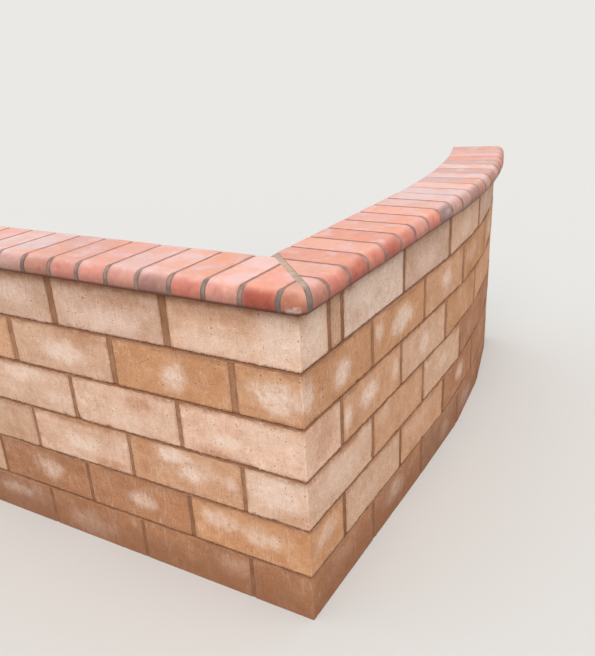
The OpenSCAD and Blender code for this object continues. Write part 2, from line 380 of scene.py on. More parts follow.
# The tones of each course from the corner outwards. What follows the last word repeats it.
LEFT_TONES = {
    1: "cream shell shell sand shell",
    2: "amber sand tan sand",
    3: "rose peach peach sand",
    4: "tan peach sand tan",
    5: "amber umber umber sand umber",
    6: "umber umber soil umber",
}
RIGHT_TONES = {
    1: "chalk shell cream shell sand",
    2: "amber amber tan amber tan",
    3: "tan sand amber tan",
    4: "peach tan sand umber",
    5: "sand tan umber umber",
    6: "umber umber soil umber",
}
CLOSER_TONES = ("sand", "tan")

# Marks on the outer faces, course by course: how far the middle lies from the corner and up from the block's
# bed, half the length and half the height, and the strength. Above 0 it is pale bloom, below 0 a rusty stain.
LEFT_MARKS = {
    1: [(55, 70, 75, 75, 0.8), (230, 35, 160, 34, 0.5), (215, 112, 140, 26, -0.5), (535, 105, 145, 20, -0.45),
        (620, 40, 140, 36, 0.5)],
    2: [(72, 68, 90, 52, 0.8), (400, 60, 46, 48, 0.8), (310, 85, 85, 45, -0.6), (815, 65, 105, 42, 0.85),
        (720, 120, 90, 20, -0.5)],
    3: [(245, 56, 55, 22, 0.9), (305, 8, 65, 20, -0.8), (120, 90, 90, 40, 0.35), (540, 105, 60, 22, -0.7),
        (610, 40, 120, 30, 0.4), (1010, 110, 125, 30, 0.6), (880, 60, 70, 35, 0.4)],
    4: [(95, 85, 90, 55, 0.8), (30, 20, 70, 25, -0.4), (440, 115, 68, 28, 0.9), (375, 68, 52, 35, 0.9),
        (560, 115, 45, 30, -0.9), (550, 45, 55, 30, -0.8), (240, 74, 28, 28, 0.5), (800, 60, 80, 35, 0.8),
        (700, 12, 65, 20, -0.8), (800, 135, 180, 12, -0.7), (330, 90, 60, 40, 0.35)],
    5: [(295, 92, 75, 34, 0.6), (150, 74, 85, 36, 0.55), (585, 70, 60, 32, 0.55), (460, 55, 75, 45, -0.5),
        (985, 77, 62, 45, 0.55), (870, 50, 80, 40, -0.4)],
    6: [(250, 90, 120, 40, 0.25)],
}
RIGHT_MARKS = {
    1: [(70, 70, 80, 80, 0.85), (400, 95, 150, 45, 0.45), (300, 30, 70, 25, -0.25), (815, 50, 130, 42, 0.45)],
    2: [(205, 62, 54, 40, 0.85), (20, 78, 44, 50, 0.7), (120, 132, 60, 18, -0.5), (624, 68, 90, 44, 0.85),
        (450, 90, 35, 32, 0.6), (1035, 80, 60, 40, 0.7)],
    3: [(30, 80, 40, 50, 0.3), (85, 100, 80, 60, -0.55), (100, 40, 40, 25, -0.4), (377, 77, 66, 38, 0.85),
        (236, 70, 30, 42, 0.75), (567, 75, 28, 36, 0.6), (300, 25, 60, 25, -0.4), (818, 62, 50, 40, 0.65)],
    4: [(178, 75, 150, 45, 0.5), (240, 136, 80, 16, -0.8), (484, 110, 55, 35, 0.3)],
    5: [(95, 85, 70, 40, 0.5)],
    6: [],
}
MARK_ROUGHNESS = 0.8
# Where a mark fades out, as shares of the way from its middle to its edge
MARK_FADE = (0.25, 1.45)
# A chance mark: its middle, half its length and half its height as shares of the face, and its strength
CHANCE_MIDDLE = (0.35, 0.65)
CHANCE_HALF_LENGTH = (0.15, 0.32)
CHANCE_HALF_HEIGHT = (0.2, 0.36)
CHANCE_STRENGTH = (0.05, 0.65)
# How far mortar is smeared over a block's face from its top and its sides, how uneven its edge is, and how
# far it wanders up and down along the top. The ragged height is how far up a block's lower edge is torn and
# darkened in specks, partly as painted shade.
SMEAR_DEPTH = 14.0
SIDE_SMEAR = 9.0
SIDE_SMEAR_SHARE = 0.7
SMEAR_UNEVEN = 14.0
SMEAR_WANDER = 16.0
RAGGED_AND_SHADE_HEIGHT = 5.0
# The top course has less mortar along its top, and under the coping a band of painted warm shade in a rusty
# colour
TOP_SMEAR = 0.2
TOP_WARM_SHADE = 0.85
TOP_WARM_SHADE_DEPTH = (5.0, 26.0)
# Points this near a corner block's end belong to the face that its end makes on the other wing
END_FACE = 2.5
# How much blocks and bricks are brightened or darkened by chance
BLOCK_SPREAD = 0.03
BRICK_SPREAD = 0.04


def pick(tones, words, k):
    """The tone of the k-th block or brick of a row. What follows the last word repeats it."""
    words = words.split()
    return tones[words[min(k, len(words) - 1)]]


def varied(colours, spread, random):
    """Tones as Blender takes them, all brightened or darkened by one chance factor."""
    factor = random.uniform(1 - spread, 1 + spread)
    return [np.array(linear(*[min(255, c * factor) for c in colour])) for colour in colours]


def marked(reach, up, marks, low, high, rough):
    """Bloom and rust, 0 to 1, of the marks whose middle lies between low and high along a face."""
    shares = np.zeros((2, len(up)))
    for middle, level, half_length, half_height, strength in marks:
        if low <= middle <= high:
            away = np.hypot((reach - middle) / half_length, (up - level) / half_height)
            share = abs(strength) * (1 - ramp(away + MARK_ROUGHNESS * rough, *MARK_FADE))
            row = 0 if strength > 0 else 1
            shares[row] = np.maximum(shares[row], share)
    return shares


def chance_mark(size, random):
    """A mark somewhere about the middle of a face that shows none of its own."""
    middle = size[0] * random.uniform(*CHANCE_MIDDLE)
    level = size[2] * random.uniform(*CHANCE_MIDDLE)
    strength = random.uniform(*CHANCE_STRENGTH)
    half_length = size[0] * random.uniform(*CHANCE_HALF_LENGTH)
    half_height = size[2] * random.uniform(*CHANCE_HALF_HEIGHT)
    return middle, level, half_length, half_height, strength


def on_face(behind):
    """1 on a face and 0 from a little way behind it on."""
    return 1 - ramp(behind, 2, 12)


def add_block(pile, stretch, colour, marks, end_marks, seed, last=False):
    """Adds a block. End marks are those of the other wing's face, where its end shows there."""
    points, quads = worn_block(stretch.size, seed, end_marks)
    random = np.random.default_rng(seed)
    length, depth, height = stretch.size
    reach, out, up = points.T
    start = norm(stretch.outer[0] - CORNER) / MM
    rough = 0.6 * noise(points * MM + seed, 26, seed + 8) + 0.4 * noise(points * MM, 11, seed + 9) - 0.5
    chance = marked(reach, up, [chance_mark(stretch.size, random)], 0, length, rough)
    own = marked(start + reach, up, marks, start, start + length, rough)
    if not own.any():
        own = chance
    shares = np.maximum(chance * on_face(out), own * on_face(depth - out))
    side = np.minimum(reach, length if last else length - reach)
    if end_marks:
        end = marked(depth - out, up, end_marks, 0, depth, rough)
        shares = np.maximum(shares, end * on_face(reach))
        side = np.where(reach < END_FACE, out, length - reach)
    tint, = varied([colour], BLOCK_SPREAD, random)
    uneven = SMEAR_UNEVEN * rough
    wander = SMEAR_WANDER * (noise(points * MM + seed, 75, seed + 10) - 0.5)
    below_top = height - up + uneven + wander
    smear = 1 - ramp(below_top, 0, SMEAR_DEPTH)
    bloom, rust = shares
    # Painted warm shade in a rusty colour along the top of the top course, under the coping
    if stretch.high > left_rows[1][0].high - MM:
        smear *= TOP_SMEAR
        rust = np.maximum(rust, TOP_WARM_SHADE * (1 - ramp(below_top, *TOP_WARM_SHADE_DEPTH)))
    smear = np.maximum(smear, SIDE_SMEAR_SHARE * (1 - ramp(side + uneven, 0, SIDE_SMEAR)))
    # The torn lower edge, darkened in specks partly as painted shade under the block
    ragged = 1 - ramp(up + uneven, 0, RAGGED_AND_SHADE_HEIGHT)
    pile.add(stretch.place(points), quads, tint=tint, bloom=bloom, rust=rust, smear=smear, ragged=ragged)


# Mortar of the blocks. A bed slopes back under the upper block, which leaves a line of shadow there, and
# painted shade darkens that part of the bed too.

MORTAR_STEPS = (9.0, 60.0, 3.4)
HEAD_STEPS = (4.0, 60.0, 7.0)
MORTAR_EDGE = (0.0, 1.2)
RECESS_LOW = 1.0
RECESS_HIGH = 5.5
HEAD_RECESS = 2.4
LEAST_RECESS = 0.3
MORTAR_SWELL = 1.8
BED_GRIT = 1.2
HEAD_GRIT = 1.0
HEAD_SHADE = 0.7
# Courses whose upright joints are darker all over, and how much. On course 1 this is painted shade under the
# coping; courses 5 and 6 are just made darker.
SHADED_HEADS = {1: 0.22, 5: 0.55, 6: 0.55}
OVERLAP = 1.2
# How far the right wing's beds reach into the left wing's, and the bend's into the straight part's
BED_LAP = 8.0
BEND_LAP = 4.0


def struck(points, size, recess, ends):
    """Draws the outer and inner face, and the ends where asked, in by a recess from point to point."""
    recess = np.maximum(recess, LEAST_RECESS)
    moved = points.copy()
    for axis in ((0, 1) if ends else (1,)):
        moved[:, axis] = recess + points[:, axis] * (size[axis] - 2 * recess) / size[axis]
    return moved


def add_bed(pile, stretch, seed, ends=True):
    points, quads = box_grid(stretch.size, MORTAR_STEPS, MORTAR_EDGE)
    spot = points * MM + seed * 2.11
    height = stretch.size[2]
    up = points[:, 2] / height
    recess = RECESS_LOW + (RECESS_HIGH - RECESS_LOW) * up ** 1.5
    recess += MORTAR_SWELL * (noise(spot, 24, seed) - 0.5) + BED_GRIT * (noise(spot, 8, seed + 1) - 0.5)
    # Painted shade, with some dirt: the bed darkens towards its top, under the upper block's edge
    shade = ramp(up + 0.4 * (noise(spot, 7, seed + 2) - 0.5), 0.05, 0.6)
    points = struck(points, stretch.size, recess, ends)
    points[:, 2] = up * (height + 2 * OVERLAP) - OVERLAP
    pile.add(stretch.place(points), quads, shade=shade)


def add_head(pile, n, before, after, seed):
    """An upright joint of course n. It lies between the (outer, inner) points before it and after it."""
    course = left_rows[n][0]
    stretch = Stretch([before[0], after[0]], [before[1], after[1]], course.low, course.high)
    points, quads = box_grid(stretch.size, HEAD_STEPS, MORTAR_EDGE)
    spot = points * MM + seed * 2.71
    across = points[:, 0] / stretch.size[0] * 2 - 1
    recess = HEAD_RECESS + MORTAR_SWELL * (noise(spot, 26, seed) - 0.5)
    recess += HEAD_GRIT * (noise(spot, 7, seed + 1) - 0.5)
    # Painted shade: a head joint darkens towards its sides, in the recess beside the blocks' ends
    shade = HEAD_SHADE * ramp(np.abs(across) + 0.6 * (noise(spot, 9, seed + 2) - 0.5), 0.5, 1.1)
    shade = np.maximum(shade, SHADED_HEADS.get(n, 0))
    points = struck(points, stretch.size, recess, False)
    points[:, 0] += across * OVERLAP
    pile.add(stretch.place(points), quads, shade=shade)


def clipped(line, low, high):
    """The part of a line of the right wing between two values of Y."""
    line = np.asarray(line)
    low, high = max(low, line[0, 1]), min(high, line[-1, 1])
    ends = [[np.interp(y, line[:, 1], line[:, 0]), y] for y in (low, high)]
    between = line[(line[:, 1] > low + 1e-6) & (line[:, 1] < high - 1e-6)]
    return np.concatenate([ends[:1], between, ends[1:]])


def face_line(n, side):
    """The outer or inner line of a course of the right wing, over all its blocks."""
    row = right_rows[min(max(n, 1), COURSES)]
    return np.concatenate([getattr(b, side) for b in row])


# Coping bricks. The section is measured outward from the wall's face and up from the brick's bed.

BRICK_HEIGHT = 57.0
BRICK_WIDTH = 90.5
NOSE = 38.0
BACK = -197.0
NOSE_TOP_R = 34.0
NOSE_LOW_R = 14.0
BACK_R = 4.0
BRICK_ARRIS = 1.8
BRICK_EDGE = (0.0, 0.5, 1.3, 3.0)
BRICK_STEP = 9.0
TURNED_STEP = 2.0
MITRE_JOINT = 18.0
MITRE_SHIFT = 30.0
# The nose turns round the wall's corner about a point this far out from both faces
TURN = NOSE - NOSE_TOP_R
# Where mortar is smeared along a brick's edges, and where its paler top, partly dust and partly painted
# sheen, ends outward and down the nose
BRICK_SMEAR = (0.5, 6.0)
DUST_AND_SHEEN_OUT = (8, 33)
DUST_AND_SHEEN_UP = (20, 48)
# How unevenly the bricks are laid: turned by up to so many degrees, set back and set low
LAID_TURN = 0.35
LAID_BACK = (0.6, 2.2)
LAID_LOW = (0.1, 1.0)


def arc(middle, radius, start, end, steps):
    angle = np.radians(np.linspace(start, end, steps + 1))
    return np.array(middle) + radius * np.stack([np.cos(angle), np.sin(angle)], axis=1)


def spaced(start, end, steps):
    """Evenly spaced points between two others, without the two."""
    return np.linspace(start, end, steps + 1)[1:-1]


def section():
    """The bullnose section as a closed ring of points, from the back of the bed round the nose to the top."""
    ring = np.concatenate([
        [(BACK, 0)],
        spaced((BACK, 0), (NOSE - NOSE_LOW_R, 0), 8),
        arc((NOSE - NOSE_LOW_R, NOSE_LOW_R), NOSE_LOW_R, -90, 0, 6),
        arc((TURN, BRICK_HEIGHT - NOSE_TOP_R), NOSE_TOP_R, 0, 90, 12),
        spaced((TURN, BRICK_HEIGHT), (BACK + BACK_R, BRICK_HEIGHT), 16),
        arc((BACK + BACK_R, BRICK_HEIGHT - BACK_R), BACK_R, 90, 180, 3),
        spaced((BACK, BRICK_HEIGHT - BACK_R), (BACK, 0), 4),
    ])
    tangent = np.roll(ring, -1, axis=0) - np.roll(ring, 1, axis=0)
    out = np.stack([tangent[:, 1], -tangent[:, 0]], axis=1)
    return ring, out / norm(out, axis=1, keepdims=True)


RING, RING_OUT = section()


def ring_at(place):
    """The section's points at a place along a run."""
    return np.c_[np.full(len(RING), float(place)), RING]


def swept(stations):
    """A closed mesh over rings of points, station by station: its points and faces."""
    count, size = stations.shape[:2]
    index = np.arange(count * size).reshape(count, size)
    beside = np.roll(index, -1, axis=1)
    quads = np.stack([index[:-1], beside[:-1], beside[1:], index[1:]], axis=-1).reshape(-1, 4).tolist()
    return stations.reshape(-1, 3), quads + [index[0][::-1].tolist(), index[-1].tolist()]


class Run:
    """A frame for a brick or joint: a place at the foot of the wall's face, the way along and the way out."""

    def __init__(self, place, way, out, low):
        self.place, self.way, self.out, self.low = (np.asarray(v, float) for v in (place, way, out, low))

    def world(self, points):
        """Takes points in millimetres, (along, outward, up), to the row frame."""
        plan = self.place + (points[:, :1] * self.way + points[:, 1:2] * self.out) * MM
        return np.c_[plan, self.low + points[:, 2] * MM]

    def local(self, points):
        plan = (points[:, :2] - self.place) / MM
        return np.c_[plan @ self.way, plan @ self.out, (points[:, 2] - self.low) / MM]


def brick_run(points, outward, bent):
    """The frame of a coping brick and its width along the wing, from its points in the frame."""
    out = outward
    if bent:
        sides = sides_of(points[points[:, 2] > points[:, 2].max() - MM / 20][:, :2])
        long = sides[norm(sides, axis=1) > BRICK_WIDTH * MM * 1.2]
        out = max(long / norm(long, axis=1, keepdims=True), key=lambda side: side @ outward)
    way = way_along(out, outward)
    nose = (points[:, :2] @ out).max() - NOSE * MM
    reach = points[:, :2] @ way
    place = out * nose + way * reach.min()
    return Run(place, way, out, points[:, 2].min()), (reach.max() - reach.min()) / MM


def brick(width, seed, random, turns):
    """A bullnose brick's points and faces, with soft arrises and a slightly uneven skin."""
    stations = []
    for place in cuts(width, TURNED_STEP if turns else BRICK_STEP, BRICK_EDGE):
        ring = ring_at(place)
        spot = ring * MM + seed * 1.91
        radius = BRICK_ARRIS * (0.6 + 1.6 * noise(spot, 16, seed) ** 2)
        gap = np.clip(radius - min(place, width - place), 0, None)
        inset = radius - np.sqrt(np.maximum(radius ** 2 - gap ** 2, 0))
        inset += 0.25 * noise(spot, 40, seed + 1) + 0.25 * noise(spot, 11, seed + 2)
        ring[:, 1:] -= RING_OUT * inset[:, None]
        stations.append(ring)
    points, faces = swept(np.array(stations))
    if turns:
        return turned(points), faces
    turn = math.radians(random.uniform(-LAID_TURN, LAID_TURN))
    reach, out = points[:, 0] - width / 2, points[:, 1]
    points[:, 0] = width / 2 + reach * math.cos(turn) - out * math.sin(turn) * 0.5
    points[:, 1] = out + reach * math.sin(turn) - random.uniform(*LAID_BACK)
    points[:, 2] -= random.uniform(*LAID_LOW) * (points[:, 2] > 1)
    return points, faces


def turned(points):
    """Rounds the end of the left run's corner piece, whose nose turns towards the right wing."""
    reach, out, up = points.T
    beyond = np.clip(NOSE_TOP_R - reach, 0, NOSE_TOP_R)
    past = out - TURN
    top = BRICK_HEIGHT - NOSE_TOP_R + np.sqrt(NOSE_TOP_R ** 2 - beyond ** 2)
    under = np.clip(TURN + beyond - (NOSE - NOSE_LOW_R), 0, NOSE_LOW_R)
    low = NOSE_LOW_R - np.sqrt(NOSE_LOW_R ** 2 - under ** 2)
    inside = (past <= beyond) & (beyond > 0)
    bent = np.where(beyond > 0, TURN + np.sqrt(np.maximum(past ** 2 - beyond ** 2, 0)), out)
    moved = np.where(inside, np.minimum(out, TURN), bent)
    return np.c_[reach, moved, np.where(inside, np.clip(up, low, top), up)]


def cut(points, faces, place, way):
    """Cuts off what lies beyond a plane on the side that way points to, and closes the cut."""
    shape = bmesh.new()
    verts = [shape.verts.new(p) for p in points]
    for face in faces:
        shape.faces.new([verts[i] for i in face])
    geometry = shape.verts[:] + shape.edges[:] + shape.faces[:]
    made = bmesh.ops.bisect_plane(
        shape, geom=geometry, dist=1e-6, plane_co=place, plane_no=way, clear_outer=True
    )
    rim = [e for e in made["geom_cut"] if isinstance(e, bmesh.types.BMEdge)]
    bmesh.ops.holes_fill(shape, edges=rim)
    shape.verts.index_update()
    left = np.array([v.co for v in shape.verts])
    rest = [[v.index for v in face.verts] for face in shape.faces]
    shape.free()
    return left, rest


# Tones of the coping bricks in full light: their own colour, which shows on the nose, and the top's paler
# one, partly dust and partly painted sheen
BRICK_TONES = {
    "red": ((188, 103, 86), (216, 152, 134)),
    "deep": ((158, 78, 62), (216, 152, 134)),
    "orange": ((174, 108, 84), (212, 152, 134)),
    "coral": ((198, 119, 102), (217, 160, 142)),
    "salmon": ((203, 134, 119), (216, 160, 146)),
    "pink": ((199, 137, 122), (219, 177, 168)),
    "rose": ((180, 119, 103), (212, 165, 155)),
    "mauve": ((160, 116, 106), (214, 172, 162)),
    "plum": ((140, 108, 106), (216, 174, 163)),
    "pale": ((191, 145, 134), (216, 187, 182)),
    "dusky": ((174, 120, 106), (197, 161, 152)),
}
# The tone of each brick from the corner outwards
LEFT_BRICKS = """orange deep pink coral mauve pink salmon salmon rose pale pale salmon
    pink rose pale salmon coral pink dusky salmon pale rose pink coral"""
RIGHT_BRICKS = """rose coral red coral red coral salmon coral plum pale pale mauve
    dusky pale dusky pale dusky salmon rose dusky salmon"""

# Patches of mortar on the noses of the left side (-1) and the right one (1) of the mitre: how far from the
# corner and up, half the length, half the height, and the strength
NOSE_MARKS = {
    -1: [(-7, 15, 24, 10, 1.2), (1085, 40, 30, 12, 0.4)],
    1: [(400, 6, 62, 6, 0.9), (905, 30, 40, 14, 0.4)],
}

MITRE_WAY = np.array([1.0, 1.0]) / math.sqrt(2)
MITRE_OFFSET = MITRE_SHIFT / math.sqrt(2)


def coping_runs(nodes, outward):
    """Every brick of a wing's coping as (node, frame, width), from the corner outwards."""
    bricks = [
        (node, *brick_run(points, outward, node == "bend_coping"))
        for node in nodes
        for points in solids_of(node)
    ]
    bricks.sort(key=lambda b: norm(b[1].place + b[1].way * b[2] * MM / 2 - CORNER))
    # The first brick is cut to the mitre, so its frame is drawn out to the coping's own corner
    node, run, width = bricks[0]
    shift = (run.place - CORNER) @ run.way + NOSE * MM
    bricks[0] = (node, Run(run.place - run.way * shift, run.way, run.out, run.low), width + shift / MM)
    return bricks


left_bricks = coping_runs(["left_mitre_bricks", "left_coping"], LEFT_OUT)
right_bricks = coping_runs(["right_mitre_bricks", "right_coping", "bend_coping"], RIGHT_OUT)


def past_mitre(points, side):
    """How far points lie beyond the mitre joint's face on one side."""
    offset = (points[:, :2] - CORNER) @ MITRE_WAY / MM - MITRE_OFFSET
    return side * offset - MITRE_JOINT / 2


def mitred(points, faces, side):
    """Cuts off what reaches into the mitre joint."""
    if past_mitre(points, side).min() > 0:
        return points, faces
    place = CORNER + MITRE_WAY * (MITRE_OFFSET + side * MITRE_JOINT / 2) * MM
    return cut(points, faces, (*place, 0), (*(-side * MITRE_WAY), 0))


def add_brick(pile, run, width, side, first, tones, seed):
    random = np.random.default_rng(seed)
    points, faces = brick(width, seed, random, first and side < 0)
    points, faces = mitred(run.world(points), faces, side)
    reach, out, up = run.local(points).T
    edge = np.minimum(np.minimum(reach, width - reach), past_mitre(points, side))
    smear = (1 - ramp(edge + 6 * (noise(points, 14, seed) - 0.5), *BRICK_SMEAR)) * ramp(out, -10, 25)
    patch = np.zeros(len(points))
    from_corner = (run.place - CORNER) @ run.way / MM + reach
    rough = noise(points, 9, seed + 5) - 0.5
    for middle, level, half_length, half_height, strength in NOSE_MARKS[side]:
        away = np.hypot((from_corner - middle) / half_length, (up - level) / half_height)
        patch += strength * (1 - ramp(away + rough, 0.4, 1.2)) * ramp(out, 5, 25)
    tint, top = varied(tones, BRICK_SPREAD, random)
    # Painted sheen, with dust: the brick's top takes the paler top colour
    dust = (1 - ramp(out, *DUST_AND_SHEEN_OUT)) * ramp(up, *DUST_AND_SHEEN_UP)
    pile.add(points, faces, tint=tint, top=top, smear=smear, patch=patch, dust=dust)


# Mortar of the coping: a little below the bricks' tops, and deeper between the noses of the right wing

TOP_RECESS = 1.6
TOP_SPREAD = 0.6
NOSE_SPREAD = 1.2
NOSE_RECESS = {-1: 1.2, 1: 2.2}
MITRE_RECESS = 0.6
# How far the joints between the noses of each side take up the bricks' warm tone
WARM_JOINTS = {-1: (0.0, 0.3), 1: (0.35, 0.9)}
# Places across a joint, as a share of its width, and how far the mortar lies over its general level there
JOINT_STATIONS = ((0, -1.4), (0.12, -0.2), (0.3, 0.0), (0.5, -0.2), (0.7, 0.0), (0.88, -0.2), (1, -1.4))


def nose_share(ring):
    """0 on the flat top and the back of the section, 1 on the nose."""
    return ramp(ring[:, 0], TURN - 6, NOSE - NOSE_TOP_R * 0.5)


def add_joint(pile, before, after, side, seed):
    """The joint between two neighbouring bricks, each a (frame, width)."""
    (run_a, width_a), (run_b, _) = before, after
    flush = nose_share(RING)
    spot = ring_at(0) * MM + seed * 0.77
    spread = TOP_SPREAD + (NOSE_SPREAD - TOP_SPREAD) * flush
    spread = (spread + flush * 3.0 * (noise(spot, 12, seed) - 0.5))[:, None] * MM
    start = run_a.world(ring_at(width_a))
    span = run_b.world(ring_at(0)) - start
    gap = norm(span, axis=1, keepdims=True)
    out = np.c_[RING_OUT[:, :1] * run_a.out, RING_OUT[:, 1]]
    stations = []
    for share, depth in JOINT_STATIONS:
        rise = depth - flush * NOSE_RECESS[side] - (1 - flush) * TOP_RECESS
        rise = rise + 0.9 * (noise(spot + share * 0.3, 9, seed + 1) - 0.5)
        reach = share * (gap + 2 * spread) - spread
        stations.append(start + span / gap * reach + out * rise[:, None] * MM)
    points, faces = mitred(*swept(np.array(stations)), side)
    local = run_a.local(points)
    middle = (width_a + local[:, 0] - run_b.local(points)[:, 0]) / 2
    edge = np.clip(np.abs(local[:, 0] - middle) / np.maximum(middle - width_a, 1), 0, 1.2)
    warm = np.random.default_rng(seed).uniform(*WARM_JOINTS[side])
    pile.add(points, faces, nose=nose_share(local[:, 1:]) * (local[:, 1] > 0), edge=edge, warm=warm)


def mitre_plan(out, across):
    """Plan points, from the corner, that lie a distance out on the coping and on the line x + y = across."""
    turned_out = np.maximum(out - TURN, 0)
    back = (np.sqrt(np.maximum(2 * turned_out ** 2 - across ** 2, 0)) - across) / 2
    straight = np.stack([out, across - out], axis=1)
    bent = np.stack([TURN + back + across, -TURN - back], axis=1)
    return np.where((across - out < -TURN)[:, None], bent, straight)


def add_mitre_joint(pile):
    """The mitre's mortar, which also fills the notch that the joint's shift leaves behind the left wing."""
    flush = nose_share(RING)
    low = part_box("mitre_joint")[0].z
    stations, edges = [], []
    for share, depth in JOINT_STATIONS:
        side = 2 * share - 1
        spot = ring_at(30 * side) * MM
        rise = depth - MITRE_RECESS + 0.9 * (noise(spot, 10, 91) - 0.5)
        reach = side * (MITRE_JOINT / 2 + 0.1 + flush + 3 * flush * (noise(spot + 1, 12, 92) - 0.5))
        out = np.maximum(RING[:, 0] + RING_OUT[:, 0] * rise, BACK + 2)
        plan = mitre_plan(out, MITRE_SHIFT + math.sqrt(2) * reach)
        if share == 0:
            plan[:, 1] = np.minimum(plan[:, 1], -BACK)
        up = low + (RING[:, 1] + RING_OUT[:, 1] * rise) * MM
        stations.append(np.c_[CORNER + plan * MM, up])
        edges.append(np.full(len(RING), abs(side)))
    points, faces = swept(np.array(stations))
    nose = np.tile(flush, len(stations))
    pile.add(points, faces, nose=nose, edge=np.concatenate(edges), beige=1.0, warm=0.0)


# Materials

class Nodes:
    """Shorthand for building the nodes of a material or of the world."""

    def __init__(self, owner, place):
        owner.use_nodes = True
        self.tree = owner.node_tree
        self.place = self.add("TexCoord")[place]

    def fill(self, node, inputs):
        """Sets a node's inputs to values, or links them to sockets, and gives its outputs."""
        for key, value in inputs.items():
            if isinstance(value, bpy.types.NodeSocket):
                self.tree.links.new(value, node.inputs[key])
            else:
                node.inputs[key].default_value = value
        return node.outputs

    def add(self, kind, inputs=None, **settings):
        """Makes a shader node of a kind, such as Math, and gives its outputs."""
        node = self.tree.nodes.new("ShaderNode" + kind)
        for key, value in settings.items():
            setattr(node, key, value)
        return self.fill(node, inputs or {})

    def value(self, name, kind="Fac"):
        """What the mesh's points carry under a name: a value, or with kind "Color" a tone."""
        return self.add("Attribute", attribute_name=name)[kind]

    def stretch(self, scale):
        return self.add("Mapping", {"Vector": self.place, "Scale": scale})["Vector"]

    def noise(self, size, detail=3.0, rough=0.5, place=None):
        """Noise with bumps of about the given size in millimetres."""
        return self.add("TexNoise", {
            "Vector": place or self.place, "Scale": 1 / (size * MM), "Detail": detail, "Roughness": rough
        })["Fac"]

    def cells(self, size):
        return self.add("TexVoronoi", {"Vector": self.place, "Scale": 1 / (size * MM)})["Distance"]

    def span(self, value, low, high, to_low=0.0, to_high=1.0):
        """Goes smoothly from to_low to to_high while the value goes from low to high."""
        inputs = {"Value": value, "From Min": low, "From Max": high, "To Min": to_low, "To Max": to_high}
        return self.add("MapRange", inputs, interpolation_type="SMOOTHSTEP")["Result"]

    def math(self, operation, first, second):
        return self.add("Math", {0: first, 1: second}, operation=operation)[0]

    def times(self, first, second):
        return self.math("MULTIPLY", first, second)

    def up(self, vector):
        return self.add("SeparateXYZ", {0: vector})["Z"]

    def mix(self, share, first, second, blend="MIX"):
        inputs = {0: share, 6: first, 7: second}
        return self.add("Mix", inputs, data_type="RGBA", blend_type=blend)[2]

    def tones(self, share, first, second):
        return self.mix(share, linear(*first), linear(*second))


class Material(Nodes):
    """A material whose colour and relief are laid on step by step."""

    def __init__(self, name):
        self.material = bpy.data.materials.new(name)
        super().__init__(self.material, "Object")
        self.shader = self.tree.nodes["Principled BSDF"]
        self.relief = {}

    def lay(self, share, tone):
        """Lays a tone over the colour, as far as share goes."""
        self.colour = self.mix(share, self.colour, linear(*tone))

    def scale(self, share, factors):
        """Brightens or darkens the colour by a factor on each channel, as far as share goes."""
        self.colour = self.mix(share, self.colour, (*factors, 1.0), "MULTIPLY")

    def bump(self, value, depth):
        """Relief of the given depth in millimetres, on top of what there is."""
        inputs = {"Distance": depth * MM, "Height": value, **self.relief}
        self.relief = {"Normal": self.add("Bump", inputs)["Normal"]}

    def finish(self, roughness, specular):
        self.fill(self.shader, {
            "Base Color": self.colour, "Roughness": roughness, "Specular IOR Level": specular, **self.relief
        })
        return self.material


